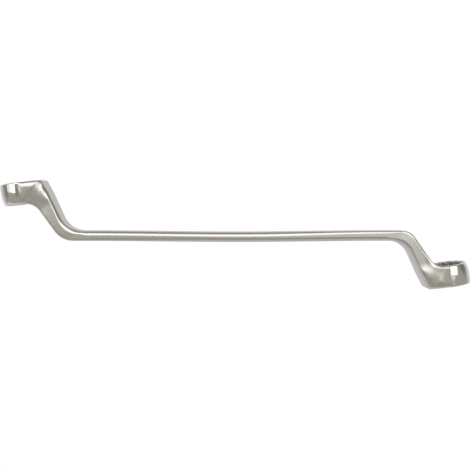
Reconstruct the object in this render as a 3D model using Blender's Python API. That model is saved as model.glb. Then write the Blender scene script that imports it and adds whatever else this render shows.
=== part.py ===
"""Deep offset ring spanner, 12 and 13 mm across flats, with twelve point sockets.

The real spanner is one plated steel forging. It is built here as five zones that meet at square cuts: two ring
heads, two cranked necks and the flat shank. X runs along the shank, Z is up, and the spanner is symmetric about
the plane Y = 0. The 12 mm end turns up at -X and the 13 mm end turns down at +X. Lengths are in metres.

Each end is drawn in its own side view: u runs outward from the middle of the spanner, and v runs from the shank
towards the end's ring. Two rails bound that side view. The back rail runs along the ring's outward face, turns
sharply, and comes down the neck's flat inner side. The belly rail runs along the ring's inward face and comes
down the outside of the crank. Ribs join the two rails, and each rib carries one cross section.
"""

import math
from collections import namedtuple

import bmesh
import bpy
from mathutils import Matrix, Vector

# Sockets
NUT_12 = 0.012
NUT_13 = 0.013
SOCKET_CLEARANCE = 0.00015
MOUTH_CHAMFER = 0.00025
MOUTH_DEPTH = 0.0005

# Ring heads
RING_WALL_12 = 0.0026
RING_WALL_13 = 0.0024
RING_HEIGHT_12 = 0.00987
RING_HEIGHT_13 = 0.00984
RING_TILT_12 = math.radians(7.4)
RING_TILT_13 = math.radians(9.3)
RING_EDGE = 0.0007
RING_TAPER = 0.0017
RING_TAPER_DEPTH = 0.0070
POLISH_END = 0.0030
FLANK_EDGE = 0.0015
FLANK_EDGE_DEPTH = 0.0026
RIM_EDGE = 0.0010
CENTRE_DISTANCE = 0.1987
RING_OFFSET_12 = 0.0195
RING_OFFSET_13 = 0.0181

# Cranked necks
CORNER_STANDOFF_12 = 0.00195
CORNER_STANDOFF_13 = 0.00155
CORNER_RADIUS = 0.0005
CORNER_EDGE = 0.0036
CORNER_EDGE_DEPTH = 0.0090
CORNER_LEAD = 0.0065
CORNER_RUN = 0.0105
SHOULDER_ANGLE = math.radians(7.0)
FLARE_LEAD = 0.0030
FLARE_LENGTH = 0.0150
BACK_ANGLE_12 = math.radians(65.3)
BACK_ANGLE_13 = math.radians(64.8)
BELLY_ANGLE_12 = math.radians(55.1)
BELLY_ANGLE_13 = math.radians(55.3)
NECK_THICKNESS_12 = 0.00725
NECK_THICKNESS_13 = 0.00690
NECK_WIDTH = 0.0118
NECK_EDGE = 0.0010
NECK_EDGE_DEPTH = 0.0021
BELLY_EDGE = 0.0011
HEAD_RADIUS_12 = 0.0075
HEAD_RADIUS_13 = 0.0057
BACK_RADIUS = 0.0113
BELLY_RADIUS_12 = 0.0102
BELLY_RADIUS_13 = 0.0063

# Shank
SHANK_THICKNESS = 0.00465
SHANK_WIDTH = 0.0104
SHANK_EDGE = 0.0015
SHANK_BOW = 0.00057
SHANK_LAND = 0.0015

# Fit between the zones, and how far a cutter runs past what it cuts
ZONE_GAP = 0.0003
OVERRUN = 0.0030
WELD_DISTANCE = 0.0000001
FLAT_ANGLE = math.radians(0.05)

# Where the head ends on the neck's straight stretch, and the most of a straight that one arc takes
HEAD_CUT_SHARE = 0.12
ARC_LIMIT_SHARE = 0.48

# Plated steel: polished on the rings, satin elsewhere
RING_COLOUR = (0.66, 0.65, 0.63)
RING_ROUGHNESS = 0.18
SATIN_COLOUR = (0.61, 0.595, 0.565)
SATIN_ROUGHNESS = 0.30
SMOOTH_SHADING_ANGLE = math.radians(30)

# Steps of the mesh
TIP_STEPS = 12
FACE_STEPS = 9
CORNER_STEPS = 5
NECK_STEPS = 7
SWEEP_STEPS = 10
SHANK_STEPS = 16
EDGE_STEPS = 4

# A twelve point socket is two hexagons, one turned half a side
HEXAGON_SIDES = 6
SOCKET_POINTS = 2 * HEXAGON_SIDES

End = namedtuple(
    "End",
    "label direction nut wall height tilt offset standoff back_angle belly_angle thickness head_radius belly_radius",
)
Edge = namedtuple("Edge", "inset depth")
Station = namedtuple("Station", "back belly past stretch")
Side = namedtuple("Side", "centre outward axis tip down face corner neck sweep")

END_12 = End(
    label="12",
    direction=-1,
    nut=NUT_12,
    wall=RING_WALL_12,
    height=RING_HEIGHT_12,
    tilt=RING_TILT_12,
    offset=RING_OFFSET_12,
    standoff=CORNER_STANDOFF_12,
    back_angle=BACK_ANGLE_12,
    belly_angle=BELLY_ANGLE_12,
    thickness=NECK_THICKNESS_12,
    head_radius=HEAD_RADIUS_12,
    belly_radius=BELLY_RADIUS_12,
)
END_13 = End(
    label="13",
    direction=1,
    nut=NUT_13,
    wall=RING_WALL_13,
    height=RING_HEIGHT_13,
    tilt=RING_TILT_13,
    offset=RING_OFFSET_13,
    standoff=CORNER_STANDOFF_13,
    back_angle=BACK_ANGLE_13,
    belly_angle=BELLY_ANGLE_13,
    thickness=NECK_THICKNESS_13,
    head_radius=HEAD_RADIUS_13,
    belly_radius=BELLY_RADIUS_13,
)

# Edge roundings from the ring's tip to the shank, along the back and along the belly
BACK_EDGES = (
    Edge(RING_EDGE, RING_EDGE),
    Edge(FLANK_EDGE, FLANK_EDGE_DEPTH),
    Edge(CORNER_EDGE, CORNER_EDGE_DEPTH),
    Edge(NECK_EDGE, NECK_EDGE_DEPTH),
    Edge(SHANK_EDGE, SHANK_EDGE),
)
BELLY_EDGES = (
    Edge(RING_TAPER, RING_TAPER_DEPTH),
    Edge(RIM_EDGE, RIM_EDGE),
    Edge(BELLY_EDGE, BELLY_EDGE),
    Edge(SHANK_EDGE, SHANK_EDGE),
)


def socket_radius(end):
    """Radius to the socket's corners."""
    return (end.nut + SOCKET_CLEARANCE) / math.sqrt(3)


def ring_radius(end):
    return socket_radius(end) + end.wall


def smooth(share):
    """Ease from 0 to 1 with level ends."""
    share = min(max(share, 0), 1)
    return share * share * (3 - 2 * share)


def mix(first, second, share):
    return first + (second - first) * share


# Side view: straight stretches, arcs and the two rails


def heading(angle):
    return Vector((math.cos(angle), math.sin(angle)))


def crossing(start, along, other_start, other_along):
    """The point where two lines of the side view cross."""
    gap = other_start - start
    spread = along.x * other_along.y - along.y * other_along.x
    return start + along * ((gap.x * other_along.y - gap.y * other_along.x) / spread)


def straight(start, end, steps):
    return [start.lerp(end, step / steps) for step in range(steps + 1)]


def gathered(start, end, steps):
    """A straight stretch whose points crowd together towards its start."""
    return [start.lerp(end, share * share * (2 - share)) for share in (step / steps for step in range(steps + 1))]


def arc(corner, arriving, leaving, radius, room, steps):
    """An arc that rounds a corner, kept within the room that its shorter straight has."""
    turn = arriving.angle(leaving)
    radius = min(radius, ARC_LIMIT_SHARE * room / math.tan(turn / 2))
    hand = math.copysign(1, arriving.x * leaving.y - arriving.y * leaving.x)
    start = corner - arriving * (radius * math.tan(turn / 2))
    centre = start + Vector((-arriving.y, arriving.x)) * (radius * hand)
    spokes = [Matrix.Rotation(hand * turn * step / steps, 2) @ (start - centre) for step in range(steps + 1)]
    return [centre + spoke for spoke in spokes]


def side_view(end):
    """The rails' stretches, each as a list of matched back and belly points."""
    centre = Vector((CENTRE_DISTANCE / 2, end.offset))
    outward = heading(-end.tilt)
    axis = Vector((-outward.y, outward.x))
    reach = ring_radius(end) + end.standoff
    down_back = -heading(end.back_angle)
    down_belly = -heading(end.belly_angle)
    along = Vector((-1, 0))

    face_end = centre + axis * (end.height / 2)
    rim_end = centre - axis * (end.height / 2)
    corner = face_end - outward * reach
    back_foot = crossing(corner, down_back, Vector((0, SHANK_THICKNESS / 2)), along)
    across = Vector((-down_back.y, down_back.x))
    belly_middle = corner.lerp(back_foot, 0.5) + across * end.thickness
    belly_top = crossing(rim_end, outward, belly_middle, down_belly)
    belly_foot = crossing(belly_middle, down_belly, Vector((0, -SHANK_THICKNESS / 2)), along)

    back_room = (back_foot - corner).length
    belly_room = (belly_foot - belly_top).length
    face_room = (belly_top - rim_end).length + ring_radius(end) / 2
    back_corner = arc(corner, -outward, down_back, CORNER_RADIUS, back_room, CORNER_STEPS)
    back_sweep = arc(back_foot, down_back, along, BACK_RADIUS, back_room, SWEEP_STEPS)
    head_room = min(belly_room, face_room)
    belly_corner = arc(belly_top, -outward, down_belly, end.head_radius, head_room, CORNER_STEPS)
    belly_sweep = arc(belly_foot, down_belly, along, end.belly_radius, belly_room, SWEEP_STEPS)

    face = (gathered(back_corner[0], face_end, FACE_STEPS)[::-1], straight(rim_end, belly_corner[0], FACE_STEPS))
    neck = (back_corner[-1], back_sweep[0]), (belly_corner[-1], belly_sweep[0])
    stretches = (face, (back_corner, belly_corner), neck, (back_sweep, belly_sweep))
    return Side(centre, outward, axis, corner, (down_back + down_belly).normalized(), *stretches)


def shank_end(side):
    """Where the straight shank ends, just inside both of the crank's lower arcs."""
    return min(side.sweep[0][-1].x, side.sweep[1][-1].x) - SHANK_LAND


def cut_ribs(neck):
    """The two ribs that face each other across the gap between the head and the neck."""
    (back_top, back_foot), (belly_top, belly_foot) = neck
    back = back_top.lerp(back_foot, HEAD_CUT_SHARE)
    belly = belly_top.lerp(belly_foot, HEAD_CUT_SHARE)
    down_back = (back_foot - back_top).normalized()
    down_belly = (belly_foot - belly_top).normalized()
    rib = (belly - back).normalized()
    square = Vector((rib.y, -rib.x))
    ribs = []
    for side in (-1, 1):
        step = side * ZONE_GAP / 2 / abs(down_back.dot(square))
        belly_step = side * ZONE_GAP / 2 / abs(down_belly.dot(square))
        ribs.append((back + down_back * step, belly + down_belly * belly_step))
    return ribs


def end_stations(side):
    """The stations of the head and those of the neck, from the ring's axis to the shank.

    Each station knows how far past the sharp corner it lies, and on which stretch of the rails.
    """
    before_cut, after_cut = cut_ribs(side.neck)
    (back_top, back_foot), (belly_top, belly_foot) = side.neck
    cut = 2 + HEAD_CUT_SHARE
    head = [(*pair, step / FACE_STEPS) for step, pair in enumerate(zip(*side.face))]
    head += [(*pair, 1 + step / CORNER_STEPS) for step, pair in enumerate(zip(*side.corner)) if step]
    head.append((*before_cut, cut))
    neck = [(*after_cut, cut)]
    for step in range(1, NECK_STEPS):
        share = mix(HEAD_CUT_SHARE, 1, step / NECK_STEPS)
        neck.append((back_top.lerp(back_foot, share), belly_top.lerp(belly_foot, share), 2 + share))
    neck += [(*pair, 3 + step / SWEEP_STEPS) for step, pair in enumerate(zip(*side.sweep))]
    land = shank_end(side) + ZONE_GAP / 2
    neck.append((Vector((land, SHANK_THICKNESS / 2)), Vector((land, -SHANK_THICKNESS / 2)), 4))
    found = []
    past = (side.face[0][0] - side.face[0][-1]).length * -1
    last = side.face[0][0]
    for back, belly, stretch in head + neck:
        past += (back - last).length
        last = back
        found.append(Station(back, belly, past, stretch))
    return found[: len(head)], found[len(head) :]


# Cross sections: how wide the forging is, and how its edges round off


def half_width(end, run, drop, stretch):
    """Half the width, from how far a point lies from the ring's axis and how far down the neck."""
    radius = ring_radius(end)
    tangent = radius * math.sin(SHOULDER_ANGLE)
    if run < tangent:
        wide = math.sqrt(max(radius * radius - run * run, 0))
    else:
        wide = radius / math.cos(SHOULDER_ANGLE) - run * math.tan(SHOULDER_ANGLE)
    flare = smooth((drop + FLARE_LEAD) / FLARE_LENGTH) * smooth((run - tangent) / radius)
    narrow = mix(NECK_WIDTH, SHANK_WIDTH, smooth(stretch / 2 - 1)) / 2
    return mix(wide, narrow, flare)


def blend(edges, shares):
    """The first edge, turned into each following edge by its share."""
    inset, depth = edges[0]
    for edge, share in zip(edges[1:], shares):
        inset = mix(inset, edge.inset, smooth(share))
        depth = mix(depth, edge.depth, smooth(share))
    return Edge(inset, depth)


def edges_at(run, past, stretch):
    """The rounding of the back and of the belly at a station."""
    satin = run / POLISH_END
    foot = stretch / 2 - 1
    back = blend(BACK_EDGES, [satin, 1 + past / CORNER_LEAD, past / CORNER_RUN, foot])
    belly = blend(BELLY_EDGES, [satin, stretch - 1, foot])
    return back, belly


def side_profile(length, back, belly):
    """Depth below the back face and inset from the full width, down one side of a section."""
    fit = min(1, length / (back.depth + belly.depth + WELD_DISTANCE))
    quarter = [math.pi / 2 * step / EDGE_STEPS for step in range(EDGE_STEPS + 1)]
    upper = [(fit * back.depth * (1 - math.cos(a)), back.inset * (1 - math.sin(a))) for a in quarter]
    lower = [(length - fit * belly.depth * (1 - math.sin(a)), belly.inset * (1 - math.cos(a))) for a in quarter]
    return upper + lower


def tip_sections(end, side):
    """Sections round the outer half of the ring, from its tip back to its axis."""
    radius = ring_radius(end)
    sections = []
    for step in range(TIP_STEPS):
        angle = math.pi / 2 * step / TIP_STEPS
        section = []
        for depth, inset in side_profile(end.height, BACK_EDGES[0], BELLY_EDGES[0]):
            rise = side.axis * (end.height / 2 - depth)
            point = side.centre + rise + side.outward * ((radius - inset) * math.cos(angle))
            section.append((point, (radius - inset) * math.sin(angle)))
        sections.append(section)
    return sections


def rib_section(end, side, station):
    """One side of the section on a rib, from the back face to the belly face."""
    rib = station.belly - station.back
    back_run = (side.centre - station.back).dot(side.outward)
    section = []
    for depth, inset in side_profile(rib.length, *edges_at(back_run, station.past, station.stretch)):
        point = station.back + rib * (depth / rib.length)
        run = (side.centre - point).dot(side.outward)
        drop = (point - side.tip).dot(side.down)
        section.append((point, half_width(end, run, drop, station.stretch) - inset))
    return section


def loop_of(end, section):
    """A section as a closed loop in the spanner's frame: one side down, the other side up."""
    near = [Vector((end.direction * point.x, -half, -end.direction * point.y)) for point, half in section]
    far = [Vector((point.x, -point.y, point.z)) for point in near]
    return near + far[::-1]


def end_loops(end):
    """The loops of one end's head and of its neck."""
    side = side_view(end)
    head, neck = end_stations(side)
    head_sections = tip_sections(end, side) + [rib_section(end, side, station) for station in head]
    neck_sections = [rib_section(end, side, station) for station in neck]
    return [loop_of(end, section) for section in head_sections], [loop_of(end, section) for section in neck_sections]


# Blender objects


def clear_scene():
    for obj in list(bpy.data.objects):
        bpy.data.objects.remove(obj, do_unlink=True)
    for collection in list(bpy.data.collections):
        bpy.data.collections.remove(collection)


def new_collection(name):
    collection = bpy.data.collections.new(name)
    bpy.context.scene.collection.children.link(collection)
    return collection


def plated_steel(name, colour, roughness):
    material = bpy.data.materials.new(name)
    material.use_nodes = True
    shader = material.node_tree.nodes["Principled BSDF"]
    shader.inputs["Base Color"].default_value = (*colour, 1)
    shader.inputs["Metallic"].default_value = 1
    shader.inputs["Roughness"].default_value = roughness
    return material


def add_object(name, work, collection, parent, place):
    """An object whose mesh is the work, moved so that its origin is at the place."""
    bmesh.ops.translate(work, verts=work.verts, vec=-place)
    bmesh.ops.recalc_face_normals(work, faces=work.faces)
    mesh = bpy.data.meshes.new(name)
    work.to_mesh(mesh)
    work.free()
    obj = bpy.data.objects.new(name, mesh)
    obj.parent = parent
    obj.location = place
    collection.objects.link(obj)
    return obj


def finish(obj, material):
    obj.data.materials.append(material)
    obj.data.shade_smooth()
    obj.data.set_sharp_from_angle(angle=SMOOTH_SHADING_ANGLE)


def skin(loops, capped_ends):
    """A skin over cross sections with as many points each, with flat ends where asked."""
    work = bmesh.new()
    rows = [[work.verts.new(point) for point in loop] for loop in loops]
    for row, following in zip(rows, rows[1:]):
        for here, there in zip(range(len(row)), range(-1, len(row) - 1)):
            work.faces.new((row[here], row[there], following[there], following[here]))
    for end in capped_ends:
        work.faces.new(rows[end])
    bmesh.ops.remove_doubles(work, verts=work.verts, dist=WELD_DISTANCE)
    bmesh.ops.dissolve_limit(work, angle_limit=FLAT_ANGLE, verts=work.verts, edges=work.edges)
    return work


def socket_loops(end):
    """Loops of the socket's cutter: a twelve point star that opens into a round mouth at both faces."""
    corner = socket_radius(end)
    valley = corner * math.cos(math.pi / HEXAGON_SIDES) / math.cos(math.pi / SOCKET_POINTS)
    mouth = corner + MOUTH_CHAMFER
    face = end.height / 2
    star = (corner, valley)
    round_mouth = (mouth, mouth)
    levels = [(face + OVERRUN, round_mouth), (face, round_mouth), (face - MOUTH_DEPTH, star)]
    levels += [(-level, radii) for level, radii in reversed(levels)]
    turns = [math.pi * step / SOCKET_POINTS for step in range(2 * SOCKET_POINTS)]
    loops = []
    for level, radii in levels:
        spokes = [Vector((radii[step % 2], 0, level)) for step in range(len(turns))]
        loops.append([Matrix.Rotation(turn, 3, "Z") @ spoke for turn, spoke in zip(turns, spokes)])
    return loops


def make_head(end, loops, collection, cutters, parent):
    """The ring head, with its socket cut through."""
    side = side_view(end)
    place = Vector((end.direction * side.centre.x, 0, -end.direction * side.centre.y))
    head = add_object("ring_head_" + end.label, skin(loops, [-1]), collection, parent, place)
    socket = add_object("socket_" + end.label, skin(socket_loops(end), [0, -1]), cutters, parent, Vector((0, 0, 0)))
    socket.location = place
    socket.rotation_euler.y = -end.tilt
    socket.hide_render = True
    socket.display_type = "WIRE"
    cut = head.modifiers.new("socket", "BOOLEAN")
    cut.operation = "DIFFERENCE"
    cut.solver = "EXACT"
    cut.object = socket
    finish(head, plated_steel("polished_ring_" + end.label, RING_COLOUR, RING_ROUGHNESS))
    return head


def make_neck(end, loops, collection, parent):
    low = sum(loops[-1], Vector()) / len(loops[-1])
    neck = add_object("neck_" + end.label, skin(loops, [0, -1]), collection, parent, low)
    finish(neck, plated_steel("satin_neck_" + end.label, SATIN_COLOUR, SATIN_ROUGHNESS))
    return neck


def make_shank(collection, parent):
    """The flat shank: a bar with rounded long edges and a slight bow."""
    low_end = -shank_end(side_view(END_12))
    high_end = shank_end(side_view(END_13))
    length = high_end - low_end - ZONE_GAP
    middle = (high_end + low_end) / 2
    work = bmesh.new()
    bmesh.ops.create_cube(work, size=1)
    bmesh.ops.scale(work, verts=work.verts, vec=(length, SHANK_WIDTH, SHANK_THICKNESS))
    bmesh.ops.translate(work, verts=work.verts, vec=Vector((middle, 0, 0)))
    lengthwise = [edge for edge in work.edges if abs((edge.verts[0].co - edge.verts[1].co).x) > length / 2]
    rounding = min(SHANK_EDGE, ARC_LIMIT_SHARE * SHANK_THICKNESS)
    bmesh.ops.bevel(work, geom=lengthwise, offset=rounding, segments=EDGE_STEPS, profile=0.5, affect="EDGES")
    for step in range(1, SHANK_STEPS):
        place = Vector((middle + length * (step / SHANK_STEPS - 0.5), 0, 0))
        everything = work.verts[:] + work.edges[:] + work.faces[:]
        bmesh.ops.bisect_plane(work, geom=everything, plane_co=place, plane_no=Vector((1, 0, 0)))
    for vertex in work.verts:
        reach = high_end if vertex.co.x > 0 else low_end
        vertex.co.z -= SHANK_BOW * (1 + math.cos(math.pi * vertex.co.x / reach)) / 2
    shank = add_object("shank", work, collection, parent, Vector((0, 0, 0)))
    finish(shank, plated_steel("satin_shank", SATIN_COLOUR, SATIN_ROUGHNESS))
    return shank


def box_middle(loops):
    """The middle of the box round every point of the loops."""
    points = [point for loop in loops for point in loop]
    low = Vector([min(point[axis] for point in points) for axis in range(3)])
    high = Vector([max(point[axis] for point in points) for axis in range(3)])
    return (low + high) / 2


def main():
    clear_scene()
    collection = new_collection("ring_spanner")
    cutters = new_collection("cutters")
    cutters.hide_render = True
    head_12, neck_12 = end_loops(END_12)
    head_13, neck_13 = end_loops(END_13)
    frame = bpy.data.objects.new("spanner_frame", None)
    frame.location = -box_middle(head_12 + head_13)
    collection.objects.link(frame)
    make_head(END_12, head_12, collection, cutters, frame)
    make_neck(END_12, neck_12, collection, frame)
    make_shank(collection, frame)
    make_neck(END_13, neck_13, collection, frame)
    make_head(END_13, head_13, collection, cutters, frame)


main()
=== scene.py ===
"""Deep offset ring spanner, 12 x 13 mm: the seamless plated forging and a plain studio stage.

The forging is a skin over ribs. Each rib is one cross section of the spanner: it joins a point of the top
rail to a point of the bottom rail, and carries how far it lies from its ring's axis and how its two edges
round off. A Geometry Nodes tree lays the skin over the ribs, and a second tree broaches a twelve point
socket through a ring. X runs along the shank, Z is up, and the spanner is symmetric about Y = 0. Lengths
are in metres.
"""

import math
from collections import namedtuple

import bmesh
import bpy
from bpy.props import FloatProperty, FloatVectorProperty, IntProperty, PointerProperty
from mathutils import Matrix, Vector


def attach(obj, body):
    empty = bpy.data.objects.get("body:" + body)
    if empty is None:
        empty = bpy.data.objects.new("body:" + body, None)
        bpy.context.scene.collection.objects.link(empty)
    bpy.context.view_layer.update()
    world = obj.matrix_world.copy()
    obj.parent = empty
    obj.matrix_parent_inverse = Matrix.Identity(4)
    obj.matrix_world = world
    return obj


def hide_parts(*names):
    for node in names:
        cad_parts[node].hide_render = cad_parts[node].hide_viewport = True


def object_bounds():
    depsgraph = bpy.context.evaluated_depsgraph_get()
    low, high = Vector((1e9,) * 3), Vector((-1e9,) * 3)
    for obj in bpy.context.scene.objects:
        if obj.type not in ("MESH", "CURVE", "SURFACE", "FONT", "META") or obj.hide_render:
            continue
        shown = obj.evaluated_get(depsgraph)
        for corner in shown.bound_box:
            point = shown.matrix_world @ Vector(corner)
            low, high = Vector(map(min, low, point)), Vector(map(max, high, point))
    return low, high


bl_info = {
    "name": "Deep offset ring spanner",
    "version": (1, 0, 0),
    "blender": (4, 5, 0),
    "location": "View3D > Sidebar > Spanner",
    "description": "Builds a plated 12 x 13 mm deep offset ring spanner and its studio stage",
    "category": "Add Mesh",
}

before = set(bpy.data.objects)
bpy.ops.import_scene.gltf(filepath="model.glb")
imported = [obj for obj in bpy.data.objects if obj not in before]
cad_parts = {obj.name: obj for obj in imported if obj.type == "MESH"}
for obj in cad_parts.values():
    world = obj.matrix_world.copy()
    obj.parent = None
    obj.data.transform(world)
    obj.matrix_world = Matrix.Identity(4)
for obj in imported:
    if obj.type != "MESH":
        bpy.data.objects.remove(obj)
CAD_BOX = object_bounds()
NODES = ("ring_head_12", "neck_12", "shank", "neck_13", "ring_head_13")
TIP_REACH = 1.00001  # closes the skin at each ring's tip
WELD_DISTANCE = 1e-7
TOLERANCE = 1e-6
SHARP_ANGLE = math.radians(30)
EDGE_BLEND_SHARE = 0.45  # part of the shank along which its edges change from one end's to the other's
TOP_BLEND_SHARE = 0.54  # part of the shank before its top edge starts to change
DRAFT_FADE = 1.6  # stretches past the sharp corner in which the draft runs out
FLAT_SHARES = (0, 0.3, 0.6, 0.85, 0.96)  # points across half a flat, from its middle
WALL_SHARE = 0.999  # what lies farther out than this share of the width is side wall
POLISHED_SHARE = 0.75  # a face is polished where more than this share of its corners are
SOCKET_SIDES = 192  # a multiple of 24, so that each corner and each flat's middle has a side's end


def length(name, description, default):
    return FloatProperty(
        name=name, description=description, default=default, min=0, precision=5, unit="LENGTH"
    )


def lengths(name, description, default):
    """Two lengths: the 12 mm end's first, or inset and depth where the description says so."""
    size = len(default)
    return FloatVectorProperty(
        name=name, description=description, default=default, size=size, min=0, precision=5, unit="LENGTH"
    )


def angle(name, description, degrees):
    return FloatProperty(name=name, description=description, default=math.radians(degrees), subtype="ANGLE")


def angles(name, description, degrees):
    """Two angles: the 12 mm end's first, unless the description says otherwise."""
    turns = [math.radians(value) for value in degrees]
    return FloatVectorProperty(
        name=name, description=description, default=turns, size=len(turns), unit="ROTATION"
    )


def colour(name, description, default):
    return FloatVectorProperty(
        name=name, description=description, default=default, size=3, subtype="COLOR", min=0, max=1
    )


class SpannerSizes(bpy.types.PropertyGroup):
    """The forging's real sizes."""

    nuts: lengths("Nut sizes", "Across flats of the hexagon that each socket fits", (0.012, 0.013))
    clearance: length("Socket clearance", "How much wider each socket is than its nut", 0.00015)
    mouth_chamfer: length("Mouth chamfer", "How far each round mouth opens past the corners", 0.00025)
    mouth_depth: length("Mouth depth", "How deep each socket's chamfer runs", 0.0005)
    corner_relief: length("Corner relief", "How much the socket's corners are cut back from sharp", 0.00012)
    walls: lengths("Ring walls", "Steel outside each socket's corners", (0.00257, 0.00237))
    heights: lengths("Ring heights", "Height of each ring along its axis", (0.00987, 0.00984))
    tilts: angles("Ring tilts", "How far each ring leans out of line with the shank", (7.4, 9.3))
    offsets: lengths("Ring offsets", "How far each ring's middle stands off the shank", (0.01952, 0.01812))
    centre_distance: length("Centre distance", "Distance between the rings' middles along the shank", 0.1987)
    ring_edge: lengths("Ring edge", "Inset and depth of its outward face's rounding", (0.0006, 0.0007))
    ring_taper: lengths("Ring taper", "Inset and depth of its inward face's rounding", (0.0017, 0.0070))
    flank_edge: lengths("Flank edge", "Inset and depth of its outward side's rounding", (0.0015, 0.0026))
    rim_edge: lengths("Rim edge", "Inset and depth of its inward side's rounding", (0.0008, 0.0012))
    polish_ends: lengths("Polish ends", "How far past each middle the polish ends", (0.0013, 0.0010))
    satin_lead: length("Satin lead", "How far past the polished zone the ring's roundings run out", 0.0022)
    corner_standoffs: lengths("Corner standoffs", "From ring wall to sharp corner", (0.00195, 0.00155))
    corner_radius: length("Corner radius", "Rounding of the sharp corner in side view", 0.0010)
    corner_edge: lengths("Corner edge", "Inset and depth of the rounding beside the corner", (0.0040, 0.0092))
    corner_lead: length("Corner lead", "How far before the sharp corner its rounding starts to widen", 0.0075)
    corner_run: length("Corner run", "How far past the sharp corner its rounding tightens", 0.0095)
    shoulder_angle: angle("Shoulder angle", "How steeply the ring's flanks close in towards the neck", 7.0)
    flare_lead: length("Flare lead", "How far before the sharp corner the flanks start to narrow", 0.0030)
    flare_length: length("Flare length", "How long the flanks take to narrow to the neck", 0.0150)
    back_angles: angles("Back angles", "Slope of each neck's flat inner side", (65.3, 64.8))
    belly_angles: angles("Belly angles", "Slope of each neck's outer side", (55.1, 55.3))
    neck_thicknesses: lengths("Neck thicknesses", "Thickness of each neck's middle", (0.00725, 0.00690))
    neck_width: length("Neck width", "Width of the neck", 0.0118)
    neck_edge: lengths("Neck edge", "Inset and depth of the bevel beside the flat", (0.0014, 0.0028))
    neck_belly: lengths("Neck belly", "Inset and depth of the rounding outside the crank", (0.0011, 0.0021))
    shank_belly: lengths("Shank belly", "The same where the crank runs into the shank", (0.0011, 0.0012))
    head_radii: lengths("Head radii", "Fillets between the rims and the necks", (0.0075, 0.0057))
    back_radius: length("Back radius", "Bend between the neck's inner side and the shank", 0.0113)
    belly_radii: lengths("Belly radii", "Bends between the outer sides and the shank", (0.0102, 0.0063))
    shank_thickness: length("Shank thickness", "Thickness of the flat shank", 0.00465)
    shank_width: length("Shank width", "Width of the flat shank", 0.0104)
    shank_edge: lengths("Shank edge", "Inset and depth of the shank's rounded long edges", (0.0022, 0.0021))
    shank_bow: length("Shank bow", "How far the shank's middle sags below its ends", 0.00057)
    drafts: angles("Drafts", "How much the flanks close in towards the outside of each crank", (5.5, 1.8))
    bevel_angles: angles("Bevel angles", "The bevel's slope beside the flat, and at its bend", (62, 50))
    bevel_share: FloatProperty(
        name="Bevel share", description="Part of the bevel before its bend", default=0.7, min=0.1, max=0.9
    )
    rounding_steps: IntProperty(
        name="Rounding steps", description="Faces across one rounded edge", default=16, min=2
    )
    rib_steps: IntProperty(
        name="Rib steps", description="Ribs along each stretch of the forging", default=24, min=4
    )


class SpannerLooks(bpy.types.PropertyGroup):
    """The colours of the plating and of the stage."""

    satin: colour("Satin plate", "Belt-ground plating on the shank, necks and flanks", (0.57, 0.558, 0.53))
    satin_dark: colour("Satin shade", "The duller streaks in the satin plating", (0.51, 0.498, 0.472))
    polish: colour("Polished plate", "Mirror plating round the rings", (0.68, 0.675, 0.665))
    socket: colour("Socket wall", "Thin plating inside the sockets", (0.55, 0.545, 0.53))
    backdrop: colour("Backdrop", "Floor and backdrop", (0.86, 0.86, 0.86))


Side = namedtuple("Side", "centre outward axis radius sharp down face corner neck sweep")


def smooth(share):
    share = min(max(share, 0), 1)
    return share * share * (3 - 2 * share)


def ease(share):
    """A slow start and a quick end."""
    return min(max(share, 0), 1) ** 2


def mix(first, second, share):
    return first + (second - first) * share


# Side view of one end: u runs outward from the middle, v from the shank towards the ring


def heading(turn):
    return Vector((math.cos(turn), math.sin(turn)))


def crossing(start, along, other_start, other_along):
    gap = other_start - start
    spread = along.x * other_along.y - along.y * other_along.x
    return start + along * ((gap.x * other_along.y - gap.y * other_along.x) / spread)


def straight(start, end, steps):
    return [start.lerp(end, step / steps) for step in range(steps + 1)]


def gathered(start, end, steps):
    """A straight stretch whose points crowd together towards its start."""
    shares = [step / steps for step in range(steps + 1)]
    return [start.lerp(end, share * share * (2 - share)) for share in shares]


def arc(corner, arriving, leaving, radius, steps):
    turn = arriving.angle(leaving)
    hand = math.copysign(1, arriving.x * leaving.y - arriving.y * leaving.x)
    start = corner - arriving * (radius * math.tan(turn / 2))
    centre = start + Vector((-arriving.y, arriving.x)) * (radius * hand)
    turns = [hand * turn * step / steps for step in range(steps + 1)]
    return [centre + Matrix.Rotation(part, 2) @ (start - centre) for part in turns]


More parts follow.
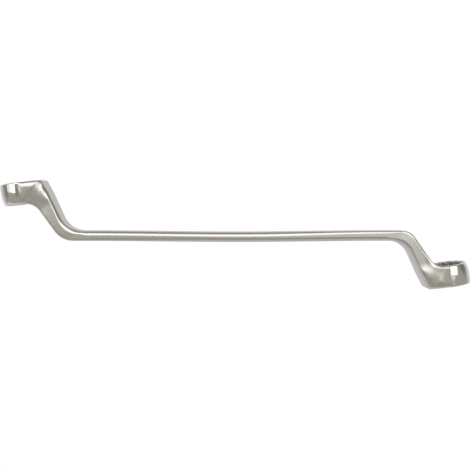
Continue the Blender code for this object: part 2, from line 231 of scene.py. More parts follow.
def side_view(sizes, end):
    """The stretches of one end's back and belly rails, as matched points."""
    steps = sizes.rib_steps
    centre = Vector((sizes.centre_distance / 2, sizes.offsets[end]))
    outward = heading(-sizes.tilts[end])
    axis = Vector((-outward.y, outward.x))
    radius = (sizes.nuts[end] + sizes.clearance) / math.sqrt(3) + sizes.walls[end]
    down_back = -heading(sizes.back_angles[end])
    down_belly = -heading(sizes.belly_angles[end])
    along = Vector((-1, 0))
    face_end = centre + axis * (sizes.heights[end] / 2)
    rim_end = centre - axis * (sizes.heights[end] / 2)
    corner = face_end - outward * (radius + sizes.corner_standoffs[end])
    back_foot = crossing(corner, down_back, Vector((0, sizes.shank_thickness / 2)), along)
    across = Vector((-down_back.y, down_back.x))
    belly_middle = corner.lerp(back_foot, 0.5) + across * sizes.neck_thicknesses[end]
    belly_top = crossing(rim_end, outward, belly_middle, down_belly)
    belly_foot = crossing(belly_middle, down_belly, Vector((0, -sizes.shank_thickness / 2)), along)
    back_corner = arc(corner, -outward, down_back, sizes.corner_radius, steps)
    back_sweep = arc(back_foot, down_back, along, sizes.back_radius, steps)
    belly_corner = arc(belly_top, -outward, down_belly, sizes.head_radii[end], steps)
    belly_sweep = arc(belly_foot, down_belly, along, sizes.belly_radii[end], steps)
    face = (straight(face_end, back_corner[0], steps), straight(rim_end, belly_corner[0], steps))
    neck_back = gathered(back_corner[-1], back_sweep[0], steps)
    neck_belly = straight(belly_corner[-1], belly_sweep[0], steps)
    stretches = ((back_corner, belly_corner), (neck_back, neck_belly), (back_sweep, belly_sweep))
    down = (down_back + down_belly).normalized()
    return Side(centre, outward, axis, radius, corner, down, face, *stretches)


def placed(end, point):
    """A point or direction of one end's side view in the spanner's own frame."""
    hand = 1 if end else -1
    return Vector((hand * point.x, 0, -hand * point.y))


def blend(shapes, shares):
    """The first shape, turned into each following shape by its share."""
    shape = list(shapes[0])
    for following, share in zip(shapes[1:], shares):
        shape = [mix(first, second, share) for first, second in zip(shape, following)]
    return shape


def satin_share(sizes, end, run):
    """How far a place has left the polished zone."""
    return smooth((run - sizes.polish_ends[end]) / sizes.satin_lead)


def edge_pair(sizes, end, run, corner_run, past, stretch):
    """Inset, depth and bevel share of the back and of the belly rounding, at a place along the rails."""
    foot = smooth(stretch / 2 - 1)
    satin = satin_share(sizes, end, run)
    back = [(*sizes.ring_edge, 0), (*sizes.flank_edge, 0), (*sizes.corner_edge, 0)]
    belly = [(*edge, 0) for edge in (sizes.ring_taper, sizes.rim_edge, sizes.neck_belly, sizes.shank_belly)]
    neck = (*sizes.neck_edge, 1)
    shank = (*sizes.shank_edge, 0)
    near = ease(1 + (run - corner_run) / sizes.corner_lead)
    return [
        blend([*back, neck, shank], [satin, near, smooth(past / sizes.corner_run), foot]),
        blend(belly, [satin, smooth(stretch - 1), foot]),
    ]


def rib(sizes, side, end, back, belly, past=0, stretch=0):
    """One rib of an end, in the spanner's own frame.

    The stretch counts 0 to 1 along the face, then to 2 in the corner, 3 on the neck and 4 in the bend to the
    shank. Past is the length of the back from the end of the face.
    """
    rails = [placed(end, point) for point in (back, belly)]
    runs = [(side.centre - point).dot(side.outward) for point in (back, belly)]
    drops = [(point - side.sharp).dot(side.down) for point in (back, belly)]
    corner_run = (side.centre - side.sharp).dot(side.outward)
    draft = math.tan(sizes.drafts[end]) * (back - belly).length * satin_share(sizes, end, runs[0])
    drafts = [0, draft * (1 - smooth((stretch - 1) / DRAFT_FADE))]
    edges = edge_pair(sizes, end, runs[0], corner_run, past, stretch)
    if end:
        for pair in (rails, runs, drops, drafts, edges):
            pair.reverse()
    return {
        "top": rails[0],
        "bottom": rails[1],
        "top_run": runs[0],
        "bottom_run": runs[1],
        "top_drop": drops[0],
        "bottom_drop": drops[1],
        "top_draft": drafts[0],
        "bottom_draft": drafts[1],
        "top_edge": edges[0],
        "bottom_edge": edges[1],
        "outward": placed(end, side.outward),
        "radius": side.radius,
        "polish": float(max(runs) < sizes.polish_ends[end] + TOLERANCE),
        "narrow": mix(sizes.neck_width, sizes.shank_width, smooth(stretch / 2 - 1)) / 2,
    }


def end_ribs(sizes, end):
    """The ribs of one end, from its ring's tip to the shank."""
    side = side_view(sizes, end)
    steps = sizes.rib_steps
    half = side.axis * (sizes.heights[end] / 2)
    ribs = []
    for step in range(steps):
        run = -side.radius * math.cos(math.pi / 2 * step / steps) * (1 if step else TIP_REACH)
        middle = side.centre - side.outward * run
        ribs.append(rib(sizes, side, end, middle + half, middle - half))
    polished = side.outward * -sizes.polish_ends[end]
    few = steps // 4
    for step in range(few):
        back, belly = (points[0] + polished * (step / few) for points in side.face)
        ribs.append(rib(sizes, side, end, back, belly))
    back_line, belly_line = ((points[0] + polished, points[-1]) for points in side.face)
    face_back = gathered(*back_line[::-1], steps)[::-1]
    for step, (back, belly) in enumerate(zip(face_back, straight(*belly_line, steps))):
        ribs.append(rib(sizes, side, end, back, belly, 0, step / steps))
    past = 0
    last = side.face[0][-1]
    for number, stretch in enumerate((side.corner, side.neck, side.sweep), start=1):
        for step, (back, belly) in enumerate(zip(*stretch)):
            if step:
                past += (back - last).length
                last = back
                ribs.append(rib(sizes, side, end, back, belly, past, number + step / steps))
    return ribs


def shank_ribs(sizes, low, high):
    """Bowed ribs between the two cranks' last ribs."""
    low_end = max(low["top"].x, low["bottom"].x)
    high_end = min(high["top"].x, high["bottom"].x)
    count = 3 * sizes.rib_steps
    ribs = []
    for step in range(1, count):
        x = mix(low_end, high_end, step / count)
        reach = high_end if x > 0 else -low_end
        sag = sizes.shank_bow * (1 + math.cos(math.pi * x / reach)) / 2
        half = Vector((0, 0, sizes.shank_thickness / 2))
        middle = Vector((x, 0, -sag))
        edges = {}
        for label, start in (("top_edge", TOP_BLEND_SHARE), ("bottom_edge", 0)):
            share = smooth((step / count - start) / EDGE_BLEND_SHARE)
            edges[label] = blend([low[label], high[label]], [share])
        ribs.append({**low, **edges, "polish": 0.0, "top": middle + half, "bottom": middle - half})
    return ribs


def all_ribs(sizes):
    low = end_ribs(sizes, 0)
    high = end_ribs(sizes, 1)
    return low + shank_ribs(sizes, low[-1], high[-1]) + high[::-1]


def frame_middle():
    """The middle of the solids' box, where the middle of the spanner's own box goes."""
    low, high = (Vector(corner) for corner in CAD_BOX)
    return (low + high) / 2


# Node trees


class Wiring:
    """Adds nodes to a tree, with each input linked or set."""

    def __init__(self, tree):
        self.tree = tree

    def add(self, kind, inputs=None, **settings):
        node = self.tree.nodes.new(kind)
        for name, value in settings.items():
            setattr(node, name, value)
        for key, value in (inputs or {}).items():
            self.put(node.inputs[key], value)
        return node

    def put(self, socket, value):
        if isinstance(value, bpy.types.NodeSocket):
            self.tree.links.new(value, socket)
        else:
            socket.default_value = value

    def math(self, operation, *values):
        return self.add("ShaderNodeMath", dict(enumerate(values)), operation=operation).outputs[0]

    def vector(self, operation, *values):
        node = self.add("ShaderNodeVectorMath", operation=operation)
        for place, value in enumerate(values):
            socket = node.inputs["Scale"] if operation == "SCALE" and place == 1 else node.inputs[place]
            self.put(socket, value)
        return node.outputs["Value" if operation in ("DOT_PRODUCT", "LENGTH") else "Vector"]

    def combine(self, x, y, z):
        return self.add("ShaderNodeCombineXYZ", {0: x, 1: y, 2: z}).outputs[0]

    def parts(self, vector):
        return self.add("ShaderNodeSeparateXYZ", {0: vector}).outputs

    def noise(self, place, **settings):
        return self.add("ShaderNodeTexNoise", {"Vector": place, **settings}).outputs[0]

    def mix(self, first, second, share):
        return self.math("MULTIPLY_ADD", self.math("SUBTRACT", second, first), share, first)

    def tint(self, first, second, share):
        """A mix of two colours, by the node's colour sockets, whose names its other sockets share."""
        node = self.add("ShaderNodeMix", {"Factor": share}, data_type="RGBA")
        self.put(node.inputs[6], (*first, 1))
        self.put(node.inputs[7], (*second, 1))
        return node.outputs[2]

    def between(self, value, low=0.0, high=1.0):
        """A smooth step from 0 at the low value to 1 at the high one."""
        limits = {"Value": value, "From Min": low, "From Max": high}
        return self.add("ShaderNodeMapRange", limits, interpolation_type="SMOOTHSTEP").outputs[0]


def new_group(name, kind, inputs, outputs):
    """A node group with named sockets, given as (name, type, default)."""
    tree = bpy.data.node_groups.new(name, kind)
    for direction, sockets in (("INPUT", inputs), ("OUTPUT", outputs)):
        for label, socket_type, *default in sockets:
            socket = tree.interface.new_socket(label, in_out=direction, socket_type=socket_type)
            if default:
                socket.default_value = default[0]
    wiring = Wiring(tree)
    return wiring, wiring.add("NodeGroupInput").outputs, wiring.add("NodeGroupOutput").inputs


def skin_tree():
    """Lays one side's skin over the ribs, mirrors it and joins the two."""
    w, given, wanted = new_group(
        "Skin over ribs",
        "GeometryNodeTree",
        [
            ("Geometry", "NodeSocketGeometry"),
            ("Profile", "NodeSocketObject"),
            ("Shoulder Angle", "NodeSocketFloat", 0.1),
            ("Flare Lead", "NodeSocketFloat", 0.01),
            ("Flare Length", "NodeSocketFloat", 0.01),
            ("Satin", "NodeSocketMaterial"),
            ("Polish", "NodeSocketMaterial"),
        ],
        [("Geometry", "NodeSocketGeometry")],
    )
    ribs = given["Geometry"]
    profile = w.add("GeometryNodeObjectInfo", {"Object": given["Profile"]}).outputs["Geometry"]
    sizes = [w.add("GeometryNodeAttributeDomainSize", {"Geometry": shape}) for shape in (ribs, profile)]
    counts = [size.outputs["Point Count"] for size in sizes]
    grid = w.add("GeometryNodeMeshGrid", {"Vertices X": counts[0], "Vertices Y": counts[1]}).outputs["Mesh"]
    index = w.add("GeometryNodeInputIndex").outputs[0]
    row = w.math("FLOOR", w.math("DIVIDE", w.math("ADD", index, 0.5), counts[1]))
    column = w.math("SUBTRACT", index, w.math("MULTIPLY", row, counts[1]))

    def read(shape, place, name, kind="FLOAT"):
        if name == "position":
            field = w.add("GeometryNodeInputPosition").outputs[0]
        else:
            field = w.add("GeometryNodeInputNamedAttribute", {"Name": name}, data_type=kind).outputs[0]
        source = {"Geometry": shape, "Index": place}
        node = w.add("GeometryNodeSampleIndex", source, data_type=kind, domain="POINT")
        w.put(node.inputs["Value"], field)
        return node.outputs[0]

    top = read(ribs, row, "position", "FLOAT_VECTOR")
    bottom = read(ribs, row, "bottom", "FLOAT_VECTOR")
    outward = read(ribs, row, "outward", "FLOAT_VECTOR")
    radius = read(ribs, row, "radius")
    narrow = read(ribs, row, "narrow")
    across = read(profile, column, "across")
    side_share = read(profile, column, "side_share")
    insets = []
    depths = []
    for label in ("top", "bottom"):
        edge = w.parts(read(ribs, row, label + "_edge", "FLOAT_VECTOR"))
        round_shares = read(profile, column, label + "_round", "FLOAT_VECTOR")
        bevel_shares = read(profile, column, label + "_bevel", "FLOAT_VECTOR")
        shares = w.vector("SUBTRACT", bevel_shares, round_shares)
        shares = w.parts(w.vector("ADD", round_shares, w.vector("SCALE", shares, edge[2])))
        insets.append(w.math("MULTIPLY", edge[0], shares[0]))
        depths.append((edge[1], w.math("MULTIPLY", edge[1], shares[1])))
    inset = w.math("ADD", *insets)
    rail = w.vector("SUBTRACT", bottom, top)
    rail_length = w.vector("LENGTH", rail)
    (top_depth, top_fall), (bottom_depth, bottom_fall) = depths
    straight_part = w.math("SUBTRACT", w.math("SUBTRACT", rail_length, top_depth), bottom_depth)
    depth = w.math("MULTIPLY_ADD", straight_part, side_share, top_fall)
    depth = w.math("ADD", depth, w.math("SUBTRACT", bottom_depth, bottom_fall))
    share = w.math("DIVIDE", depth, rail_length)
    run = w.mix(read(ribs, row, "top_run"), read(ribs, row, "bottom_run"), share)

    tangent = w.math("MULTIPLY", radius, w.math("SINE", given["Shoulder Angle"]))
    round_part = w.math("MULTIPLY", radius, radius)
    round_part = w.math("SUBTRACT", round_part, w.math("MULTIPLY", run, run))
    round_part = w.math("SQRT", w.math("MAXIMUM", round_part, 0))
    shoulder = w.math("DIVIDE", radius, w.math("COSINE", given["Shoulder Angle"]))
    closing = w.math("MULTIPLY", run, w.math("TANGENT", given["Shoulder Angle"]))
    shoulder = w.math("SUBTRACT", shoulder, closing)
    wide = w.mix(round_part, shoulder, w.math("GREATER_THAN", run, tangent))
    drop = w.mix(read(ribs, row, "top_drop"), read(ribs, row, "bottom_drop"), share)
    flare_shares = (
        w.math("DIVIDE", w.math("ADD", drop, given["Flare Lead"]), given["Flare Length"]),
        w.math("DIVIDE", w.math("SUBTRACT", run, tangent), radius),
    )
    flare = w.math("MULTIPLY", *(w.between(value) for value in flare_shares))
    width = w.mix(wide, narrow, flare)
    lean = w.math("DIVIDE", w.math("MINIMUM", run, tangent), w.math("MULTIPLY", radius, -1))
    lean = w.math("MULTIPLY", lean, w.math("SUBTRACT", 1, flare))
    square = w.math("SQRT", w.math("SUBTRACT", 1, w.math("MULTIPLY", lean, lean)))
    away = w.math("SUBTRACT", 1, share)
    draft = w.math("MULTIPLY", read(ribs, row, "top_draft"), w.math("MULTIPLY", away, away))
    draft = w.math("MULTIPLY_ADD", read(ribs, row, "bottom_draft"), w.math("MULTIPLY", share, share), draft)
    reach = w.math("SUBTRACT", w.math("SUBTRACT", width, draft), w.math("MULTIPLY", inset, square))
    reach = w.math("MULTIPLY", across, reach)
    place = w.vector("ADD", top, w.vector("SCALE", rail, share))
    place = w.vector("SUBTRACT", place, w.vector("SCALE", outward, w.math("MULTIPLY", inset, lean)))
    place = w.vector("ADD", place, w.combine(0, w.math("MULTIPLY", reach, -1), 0))

    shape = w.add("GeometryNodeSetPosition", {"Geometry": grid, "Position": place}).outputs[0]
    belt = w.combine(read(ribs, row, "along"), reach, depth)
    kept = [
        ("belt", "FLOAT_VECTOR", belt),
        ("polish", "FLOAT", read(ribs, row, "polish")),
        ("across", "FLOAT", across),
    ]
    for name, kind, value in kept:
        target = {"Geometry": shape, "Name": name}
        node = w.add("GeometryNodeStoreNamedAttribute", target, data_type=kind, domain="POINT")
        w.put(node.inputs["Value"], value)
        shape = node.outputs[0]
    mirrored = w.add("GeometryNodeTransform", {"Geometry": shape, "Scale": (1, -1, 1)}).outputs[0]
    joined = w.add("GeometryNodeJoinGeometry")
    w.put(joined.inputs[0], w.add("GeometryNodeFlipFaces", {"Mesh": shape}).outputs[0])
    w.put(joined.inputs[0], mirrored)
    weld = {"Geometry": joined.outputs[0], "Distance": WELD_DISTANCE}
    welded = w.add("GeometryNodeMergeByDistance", weld).outputs[0]
    whole = w.add("GeometryNodeRealizeInstances", {"Geometry": welded}).outputs[0]
    whole = w.add("GeometryNodeSetMaterial", {"Geometry": whole, "Material": given["Satin"]}).outputs[0]
    chosen = []
    for name, least in (("polish", POLISHED_SHARE), ("across", WALL_SHARE)):
        field = w.add("GeometryNodeInputNamedAttribute", {"Name": name}, data_type="FLOAT").outputs[0]
        chosen.append(w.math("GREATER_THAN", field, least))
    ring_wall = {"Geometry": whole, "Selection": w.math("MULTIPLY", *chosen), "Material": given["Polish"]}
    w.put(wanted["Geometry"], w.add("GeometryNodeSetMaterial", ring_wall).outputs[0])
    return w.tree


def socket_tree():
    """Cuts a twelve point socket with a round chamfered mouth at both faces."""
    w, given, wanted = new_group(
        "Twelve point socket",
        "GeometryNodeTree",
        [
            ("Geometry", "NodeSocketGeometry"),
            ("Across Flats", "NodeSocketFloat", 0.01),
            ("Height", "NodeSocketFloat", 0.01),
            ("Mouth Chamfer", "NodeSocketFloat", 0.0002),
            ("Mouth Depth", "NodeSocketFloat", 0.0005),
            ("Corner Relief", "NodeSocketFloat", 0.0001),
            ("Overrun", "NodeSocketFloat", 0.0003),
            ("Centre", "NodeSocketVector"),
            ("Tilt", "NodeSocketVector"),
            ("Wall", "NodeSocketMaterial"),
        ],
        [("Geometry", "NodeSocketGeometry")],
    )
    sides = {"Vertices": SOCKET_SIDES, "Side Segments": 3}
    blank = w.add("GeometryNodeMeshCylinder", sides, fill_type="NGON").outputs["Mesh"]
    spot = w.parts(w.add("GeometryNodeInputPosition").outputs[0])
    turn = w.math("ARCTAN2", spot[1], spot[0])
    sixth = math.pi / 3
    half_flats = w.math("MULTIPLY", given["Across Flats"], 0.5)
    reaches = []
    for start in (0, sixth / 2):
        wrapped = w.math("WRAP", w.math("ADD", turn, start), sixth / 2, -sixth / 2)
        reaches.append(w.math("DIVIDE", half_flats, w.math("COSINE", wrapped)))
    corner = w.math("DIVIDE", given["Across Flats"], math.sqrt(3))
    star = w.math("MAXIMUM", *reaches)
    relieved = w.math("SUBTRACT", corner, given["Corner Relief"])
    star = w.math("SMOOTH_MIN", star, relieved, given["Corner Relief"])
    mouth = w.math("ADD", corner, given["Mouth Chamfer"])
    past_face = w.math("GREATER_THAN", w.math("ABSOLUTE", spot[2]), 0.5)
    overrun = w.math("ADD", w.math("DIVIDE", given["Overrun"], given["Mouth Depth"]), 1)
    widening = w.math("MULTIPLY", past_face, overrun)
    reach = w.mix(star, mouth, widening)
    face = w.math("MULTIPLY", given["Height"], 0.5)
    mouth_foot = w.math("SUBTRACT", face, given["Mouth Depth"])
    rise = w.math("MULTIPLY_ADD", widening, given["Mouth Depth"], mouth_foot)
    place = w.combine(
        w.math("MULTIPLY", reach, w.math("COSINE", turn)),
        w.math("MULTIPLY", reach, w.math("SINE", turn)),
        w.math("MULTIPLY", rise, w.math("SIGN", spot[2])),
    )
    broach = w.add("GeometryNodeSetPosition", {"Geometry": blank, "Position": place}).outputs[0]
    move = {"Geometry": broach, "Translation": given["Centre"], "Rotation": given["Tilt"]}
    broach = w.add("GeometryNodeTransform", move).outputs[0]
    ring = {"Mesh 1": given["Geometry"]}
    cut = w.add("GeometryNodeMeshBoolean", ring, operation="DIFFERENCE", solver="EXACT")
    w.put(cut.inputs["Mesh 2"], broach)
    whole = w.add("GeometryNodeRealizeInstances", {"Geometry": cut.outputs["Mesh"]}).outputs[0]
    away = w.vector("SUBTRACT", w.add("GeometryNodeInputPosition").outputs[0], given["Centre"])
    upright = {"Vector": (0, 0, 1), "Rotation": given["Tilt"]}
    axis = w.add("ShaderNodeVectorRotate", upright, rotation_type="EULER_XYZ").outputs[0]
    height = w.vector("DOT_PRODUCT", away, axis)
    spread = w.math("POWER", w.vector("LENGTH", away), 2)
    spread = w.math("SUBTRACT", spread, w.math("MULTIPLY", height, height))
    spread = w.math("SQRT", w.math("MAXIMUM", spread, 0))
    inside = w.math("LESS_THAN", spread, w.math("ADD", mouth, TOLERANCE))
    below_face = w.math("LESS_THAN", w.math("ABSOLUTE", height), w.math("SUBTRACT", face, TOLERANCE))
    chosen = w.math("MULTIPLY", inside, below_face)
    socket_wall = {"Geometry": whole, "Selection": chosen, "Material": given["Wall"]}
    w.put(wanted["Geometry"], w.add("GeometryNodeSetMaterial", socket_wall).outputs[0])
    return w.tree


def apply_tree(obj, tree, values):
    """The object's mesh after the tree, with the modifier's inputs set by their identifiers."""
    modifier = obj.modifiers.new(tree.name, "NODES")
    modifier.node_group = tree
    identifiers = {item.name: item.identifier for item in tree.interface.items_tree if item.in_out == "INPUT"}
    for name, value in values.items():
        modifier[identifiers[name]] = value
    graph = bpy.context.evaluated_depsgraph_get()
    shown = obj.evaluated_get(graph)
    mesh = bpy.data.meshes.new_from_object(shown, preserve_all_data_layers=True, depsgraph=graph)
    obj.modifiers.remove(modifier)
    return mesh


def point_object(name, points, attributes):
    """Loose points with named attributes, for a tree to read."""
    mesh = bpy.data.meshes.new(name)
    mesh.from_pydata(points, [], [])
    for label, (kind, values) in attributes.items():
        layer = mesh.attributes.new(label, kind, "POINT")
        if kind == "FLOAT_VECTOR":
            layer.data.foreach_set("vector", [number for value in values for number in value])
        else:
            layer.data.foreach_set("value", values)
    obj = bpy.data.objects.new(name, mesh)
    bpy.context.scene.collection.objects.link(obj)
    return obj


def rib_object(sizes):
    """The ribs' top points with all that each rib carries, and the move from the spanner's own frame."""
    ribs = all_ribs(sizes)
    points = [item[rail] for item in ribs for rail in ("top", "bottom")]
    middle = Vector([(min(places) + max(places)) / 2 for places in zip(*points)])
    shift = frame_middle() - middle
    along = 0
    last = ribs[0]["top"]
    alongs = []
    for item in ribs:
        centre = (item["top"] + item["bottom"]) / 2
        along += (centre - last).length
        last = centre
        alongs.append(along)
    attributes = {
        "bottom": ("FLOAT_VECTOR", [item["bottom"] + shift for item in ribs]),
        "along": ("FLOAT", alongs),
    }
    for label in ribs[0]:
        if label in ("top_edge", "bottom_edge", "outward"):
            attributes[label] = ("FLOAT_VECTOR", [item[label] for item in ribs])
        elif label not in ("top", "bottom"):
            attributes[label] = ("FLOAT", [item[label] for item in ribs])
    return point_object("ribs", [item["top"] + shift for item in ribs], attributes), shift


def round_path(steps):
    """Inset and depth of a plain rounding as shares, from the flat to the flank."""
    turns = [math.pi / 2 * step / steps for step in range(steps + 1)]
    return [(1 - math.sin(turn), 1 - math.cos(turn), 0) for turn in turns]


def bevel_path(sizes, steps):
    """The same for a bevel that leaves the flat with a crease, and bends into the flank at its end."""
    start, bend = sizes.bevel_angles
    spot = Vector((0, 0, 0))
    path = [spot.copy()]
    for step in range(steps):
        place = (2 * step + 1) / steps
        if place < 1:
            share, turn = sizes.bevel_share, mix(start, bend, place)
        else:
            share, turn = 1 - sizes.bevel_share, bend * (2 - place)
        spot += Vector((math.sin(turn), math.cos(turn), 0)) * (2 * share / steps)
        path.append(spot.copy())
    return [(1 - point.x / spot.x, point.y / spot.y, 0) for point in path]


def profile_object(sizes):
    """Half a cross section as shares, from the middle of the top face round one side to the bottom's middle.

    Each point holds its share of the width, its step in the top rounding, its share of the side's straight
    part and its step in the bottom rounding.
    """
    steps = sizes.rounding_steps
    half = [(share, 0, 0, steps) for share in FLAT_SHARES]
    half += [(1, step, 0, steps) for step in range(steps + 1)]
    half += [(1, steps, step / steps, steps) for step in range(1, steps)]
    half += [(1, steps, 1, steps - step) for step in range(steps + 1)]
    half += [(share, steps, 1, 0) for share in reversed(FLAT_SHARES)]
    across, top_steps, side_shares, bottom_steps = zip(*half)
    attributes = {"across": ("FLOAT", across), "side_share": ("FLOAT", side_shares)}
    for kind, path in (("_round", round_path(steps)), ("_bevel", bevel_path(sizes, steps))):
        attributes["top" + kind] = ("FLOAT_VECTOR", [path[step] for step in top_steps])
        attributes["bottom" + kind] = ("FLOAT_VECTOR", [path[step] for step in bottom_steps])
    return point_object("profile", [(0, 0, 0)] * len(half), attributes)


# Materials

COLOUR_PATCH_SHARE = 0.35  # what the patches add to the grain in the colour
ROUGHNESS_PATCH_SHARE = 0.5


def grain_group():
    """Fine belt lines along the forging, as a mask and a height."""
    w, given, wanted = new_group(
        "Belt grain",
        "ShaderNodeTree",
        [
            ("Belt", "NodeSocketVector"),
            ("Lines", "NodeSocketFloat", 4000.0),
            ("Stretch", "NodeSocketFloat", 0.02),
        ],
        [("Mask", "NodeSocketFloat"), ("Height", "NodeSocketFloat")],
    )
    squeezed = w.vector("MULTIPLY", given["Belt"], w.combine(given["Stretch"], 1, 1))
    spot = w.vector("SCALE", squeezed, given["Lines"])
    fine = w.noise(spot, Scale=1.0, Detail=3.0, Roughness=0.6)
    broad = w.noise(spot, Scale=0.22, Detail=1.0)
    both = w.mix(fine, broad, 0.4)
    w.put(wanted["Height"], both)
    mask = w.add("ShaderNodeMapRange", {"Value": both, "From Min": 0.35, "From Max": 0.65}).outputs[0]
    w.put(wanted["Mask"], mask)
    return w.tree


def smudge_group():
    """Soft uneven patches, as left by grinding and handling."""
    w, given, wanted = new_group(
        "Plating patches",
        "ShaderNodeTree",
        [("Place", "NodeSocketVector"), ("Size", "NodeSocketFloat", 0.01)],
        [("Mask", "NodeSocketFloat")],
    )
    spot = w.vector("SCALE", given["Place"], w.math("DIVIDE", 1, given["Size"]))
    cloud = w.noise(spot, Scale=1.0, Detail=3.0, Distortion=0.4)
    mask = w.add("ShaderNodeMapRange", {"Value": cloud, "From Min": 0.3, "From Max": 0.7}).outputs[0]
    w.put(wanted["Mask"], mask)
    return w.tree


def plated(name, groups, first, second, roughness, streaks, bump, lines, size):
    """A plated steel material: belt grain and patches drive its colour, roughness and bump.

    Streaks is how far the second colour comes through, bump the grain's depth, lines the number of belt lines
    in a metre and size that of the patches.
    """
    material = bpy.data.materials.new(name)
    material.use_nodes = True
    w = Wiring(material.node_tree)
    shader = material.node_tree.nodes["Principled BSDF"]
    belt = w.add("ShaderNodeAttribute", attribute_name="belt").outputs["Vector"]
    place = w.add("ShaderNodeTexCoord").outputs["Object"]
    grain_tree, smudge_tree = groups
    grain = w.add("ShaderNodeGroup", node_tree=grain_tree)
    w.put(grain.inputs["Belt"], belt)
    grain.inputs["Lines"].default_value = lines
    patches = w.add("ShaderNodeGroup", node_tree=smudge_tree)
    w.put(patches.inputs["Place"], place)
    patches.inputs["Size"].default_value = size
    masks = (grain.outputs["Mask"], patches.outputs["Mask"])
    share = w.math("MULTIPLY", w.mix(*masks, COLOUR_PATCH_SHARE), streaks)
    w.put(shader.inputs["Base Color"], w.tint(first, second, share))
    w.put(shader.inputs["Roughness"], w.mix(*roughness, w.mix(*masks, ROUGHNESS_PATCH_SHARE)))
    shader.inputs["Metallic"].default_value = 1
    relief = w.add("ShaderNodeBump", {"Strength": 1.0, "Distance": bump, "Height": grain.outputs["Height"]})
    w.put(shader.inputs["Normal"], relief.outputs["Normal"])
    return material


class SPANNER_OT_forging(bpy.types.Operator):
    """Build the seamless forging with both sockets"""

    bl_idname = "spanner.forging"
    bl_label = "Forging"

    def execute(self, context):
        sizes = context.scene.spanner_sizes
        looks = context.scene.spanner_looks
        groups = (grain_group(), smudge_group())
        satin = plated(
            "satin_plate", groups, looks.satin, looks.satin_dark,
            roughness=(0.25, 0.31), streaks=0.7, bump=7e-7, lines=5000, size=0.012,
        )
        polish = plated(
            "polished_plate", groups, looks.polish, looks.satin,
            roughness=(0.05, 0.11), streaks=0.5, bump=3e-7, lines=3000, size=0.02,
        )
        wall = plated(
            "socket_wall", groups, looks.socket, looks.satin_dark,
            roughness=(0.25, 0.45), streaks=0.6, bump=3e-6, lines=6000, size=0.004,
        )
        ribs, shift = rib_object(sizes)
        profile = profile_object(sizes)
        skin = apply_tree(
            ribs,
            skin_tree(),
            {
                "Profile": profile,
                "Shoulder Angle": sizes.shoulder_angle,
                "Flare Lead": sizes.flare_lead,
                "Flare Length": sizes.flare_length,
                "Satin": satin,
                "Polish": polish,
            },
        )
        work = bmesh.new()
        work.from_mesh(skin)
        bmesh.ops.remove_doubles(work, verts=work.verts, dist=WELD_DISTANCE)
        bmesh.ops.recalc_face_normals(work, faces=work.faces)
        work.to_mesh(skin)
        work.free()
        body = bpy.data.objects.new("forging", skin)
        context.scene.collection.objects.link(body)
        tree = socket_tree()
        for end in (0, 1):
            centre = placed(end, side_view(sizes, end).centre) + shift
            body.data = apply_tree(
                body,
                tree,
                {
                    "Across Flats": sizes.nuts[end] + sizes.clearance,
                    "Height": sizes.heights[end],
                    "Mouth Chamfer": sizes.mouth_chamfer,
                    "Mouth Depth": sizes.mouth_depth,
                    "Corner Relief": sizes.corner_relief,
                    "Centre": centre,
                    "Tilt": Vector((0, -sizes.tilts[end], 0)),
                    "Wall": wall,
                },
            )
        body.data.materials.pop(index=0)  # the empty slot that the trees leave
        body.data.shade_smooth()
        body.data.set_sharp_from_angle(angle=SHARP_ANGLE)
        for helper in (ribs, profile):
            bpy.data.objects.remove(helper)
        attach(body, "root")
        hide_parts(*NODES)
        return {"FINISHED"}


# Stage. Azimuths and elevations are in degrees: azimuth 0 is in front of the spanner and 90 on its right

IMAGE_SIDE = 470  # pixels
LEFT_HEAD = (-0.1, 0, 0.02)
LAMPS = {
    "key": {
        "target": (0, 0, 0), "azimuth": 7.5, "elevation": 30.5,
        "distance": 1.5, "size": (2.00, 1.37), "radiance": 1.6,
    },
    "left_fill": {
        "target": LEFT_HEAD, "azimuth": -33, "elevation": 14,
        "distance": 0.3, "size": (0.15, 0.23), "radiance": 0.9,
    },
    "left_edge": {
        "target": LEFT_HEAD, "azimuth": -43, "elevation": 14,
        "distance": 0.3, "size": (0.26, 0.23), "radiance": 0.7,
    },
}
AMBIENT_LEVEL = 0.8  # what lights the spanner; the levels below are what it mirrors
FRONT_LEVEL = 0.48
BACK_LEVELS = (0.8, 1.05)
CEILING_LEVEL = 0.40
# Azimuth, elevation, inner and outer angle of each round card in front
DARK_CARDS = {(84, 26, 10, 28): 0.25, (-76, -6, 5, 14): 0.30, (-14, -4, 4, 16): 0.33}
PALE_CARD = (12, 6, 6, 16)
PALE_LEVEL = 0.95
PAPER_LEVEL = 0.8
WARM = (1, 0.963, 0.861)
WHITE = (1, 1, 1)


def away_from(azimuth, elevation):
    """The direction of a place in the studio, as seen from the spanner."""
    turn = math.radians(azimuth)
    rise = math.radians(elevation)
    return Vector((math.sin(turn) * math.cos(rise), -math.cos(turn) * math.cos(rise), math.sin(rise)))


class SPANNER_OT_stage(bpy.types.Operator):
    """Build the camera, the pale backdrop and the soft studio light"""

    bl_idname = "spanner.stage"
    bl_label = "Stage"

    def execute(self, context):
        add_camera(context.scene)
        add_backdrop(context.scene)
        add_world(context.scene)
        for name, lamp in LAMPS.items():
            add_softbox(context.scene, name, **lamp)
        context.scene.view_settings.view_transform = "Standard"
        return {"FINISHED"}


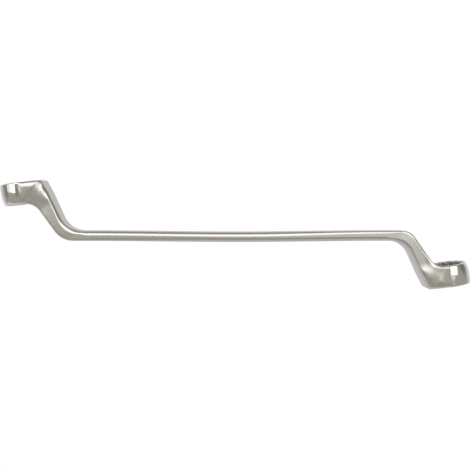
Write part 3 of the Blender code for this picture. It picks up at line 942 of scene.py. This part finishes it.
def add_camera(scene):
    """The photograph's view: 311 mm away and a little above the shank."""
    distance = 0.3107
    rise = 0.0497  # radians
    pixels_per_metre = 2136.4
    shift_pixels = (-0.6, 0.4)
    target = frame_middle() + Vector((-0.000209, 0, -0.000529))
    data = bpy.data.cameras.new("camera")
    data.lens = data.sensor_width * distance * pixels_per_metre / IMAGE_SIDE
    data.shift_x, data.shift_y = (pixels / IMAGE_SIDE for pixels in shift_pixels)
    data.clip_start = 0.01
    camera = bpy.data.objects.new("camera", data)
    camera.location = target + Vector((0, -math.cos(rise), math.sin(rise))) * distance
    camera.rotation_euler = (math.pi / 2 - rise, 0, 0)
    scene.collection.objects.link(camera)
    scene.camera = camera


def add_backdrop(scene):
    """A pale floor that curves up into a back wall, behind and below the spanner."""
    front = -0.12
    floor = -0.22
    back = 0.75
    top = 0.55
    half_width = 0.55
    radius = 0.25
    steps = 16
    path = [(front, floor), (back - radius, floor)]
    for step in range(1, steps + 1):
        turn = math.pi / 2 * step / steps
        path.append((back - radius + radius * math.sin(turn), floor + radius * (1 - math.cos(turn))))
    path.append((back, top))
    points = [(x, y, z) for y, z in path for x in (-half_width, half_width)]
    faces = [(2 * step, 2 * step + 1, 2 * step + 3, 2 * step + 2) for step in range(len(path) - 1)]
    mesh = bpy.data.meshes.new("backdrop")
    mesh.from_pydata(points, [], faces)
    mesh.shade_smooth()
    backdrop = bpy.data.objects.new("backdrop", mesh)
    scene.collection.objects.link(backdrop)
    material = bpy.data.materials.new("backdrop_paper")
    material.use_nodes = True
    w = Wiring(material.node_tree)
    paper = material.node_tree.nodes["Principled BSDF"]
    paper.inputs["Base Color"].default_value = (*scene.spanner_looks.backdrop, 1)
    paper.inputs["Roughness"].default_value = 0.9
    rays = w.add("ShaderNodeLightPath").outputs
    strength = w.mix(PAPER_LEVEL, 1.0, rays["Is Camera Ray"])
    white = w.add("ShaderNodeEmission", {"Color": (*WHITE, 1), "Strength": strength})
    seen = w.math("MAXIMUM", rays["Is Camera Ray"], rays["Is Glossy Ray"])
    seen = w.math("MAXIMUM", seen, rays["Is Transmission Ray"])
    shown = w.add("ShaderNodeMixShader", {0: seen, 1: paper.outputs[0], 2: white.outputs[0]})
    w.put(material.node_tree.nodes["Material Output"].inputs["Surface"], shown.outputs[0])
    mesh.materials.append(material)


def add_world(scene):
    """White to the camera; to the metal, a dim room in front and a pale one behind."""
    world = bpy.data.worlds.new("studio")
    scene.world = world
    world.use_nodes = True
    w = Wiring(world.node_tree)
    background = world.node_tree.nodes["Background"]
    rays = w.add("ShaderNodeLightPath").outputs
    way = w.add("ShaderNodeTexCoord").outputs["Generated"]
    _, backward, upward = w.parts(way)

    def card(azimuth, elevation, inner, outer):
        """How much a round card covers a direction: wholly inside the inner angle, not past the outer."""
        facing = w.vector("DOT_PRODUCT", way, away_from(azimuth, elevation))
        return w.between(facing, math.cos(math.radians(outer)), math.cos(math.radians(inner)))

    behind = w.between(backward, 0.05, 0.35)
    room = w.mix(FRONT_LEVEL, w.mix(*BACK_LEVELS, w.between(backward, 0.4, 0.85)), behind)
    room = w.mix(room, CEILING_LEVEL, w.between(upward, 0.83, 0.92))
    for place, level in DARK_CARDS.items():
        room = w.mix(room, level, card(*place))
    pale = card(*PALE_CARD)
    room = w.mix(room, PALE_LEVEL, pale)
    reflected = w.math("MAXIMUM", rays["Is Glossy Ray"], rays["Is Transmission Ray"])
    strength = w.mix(w.mix(AMBIENT_LEVEL, room, reflected), 1.0, rays["Is Camera Ray"])
    neutral = w.math("MAXIMUM", w.math("MAXIMUM", behind, pale), rays["Is Camera Ray"])
    w.put(background.inputs["Color"], w.tint(WARM, WHITE, neutral))
    w.put(background.inputs["Strength"], strength)


def add_softbox(scene, name, target, azimuth, elevation, distance, size, radiance):
    """A rectangular softbox that faces a point of the spanner."""
    away = away_from(azimuth, elevation)
    data = bpy.data.lights.new(name, "AREA")
    data.shape = "RECTANGLE"
    data.size, data.size_y = size
    data.energy = radiance * math.pi * size[0] * size[1]
    light = bpy.data.objects.new(name, data)
    light.location = Vector(target) + away * distance
    light.rotation_euler = away.to_track_quat("Z", "Y").to_euler()
    light.visible_camera = False
    scene.collection.objects.link(light)


class SPANNER_PT_panel(bpy.types.Panel):
    """The spanner's steps and sizes"""

    bl_idname = "SPANNER_PT_panel"
    bl_label = "Ring spanner"
    bl_space_type = "VIEW_3D"
    bl_region_type = "UI"
    bl_category = "Spanner"

    def draw(self, context):
        for operator in (SPANNER_OT_forging, SPANNER_OT_stage):
            self.layout.operator(operator.bl_idname)
        for group in (context.scene.spanner_sizes, context.scene.spanner_looks):
            box = self.layout.box()
            for name in group.__annotations__:
                box.prop(group, name)


CLASSES = (SpannerSizes, SpannerLooks, SPANNER_OT_forging, SPANNER_OT_stage, SPANNER_PT_panel)


def register():
    for item in CLASSES:
        bpy.utils.register_class(item)
    bpy.types.Scene.spanner_sizes = PointerProperty(type=SpannerSizes)
    bpy.types.Scene.spanner_looks = PointerProperty(type=SpannerLooks)


def unregister():
    del bpy.types.Scene.spanner_looks
    del bpy.types.Scene.spanner_sizes
    for item in reversed(CLASSES):
        bpy.utils.unregister_class(item)


def main():
    register()
    bpy.ops.spanner.forging()
    bpy.ops.spanner.stage()
    bpy.context.view_layer.update()


if __name__ == "__main__":
    main()
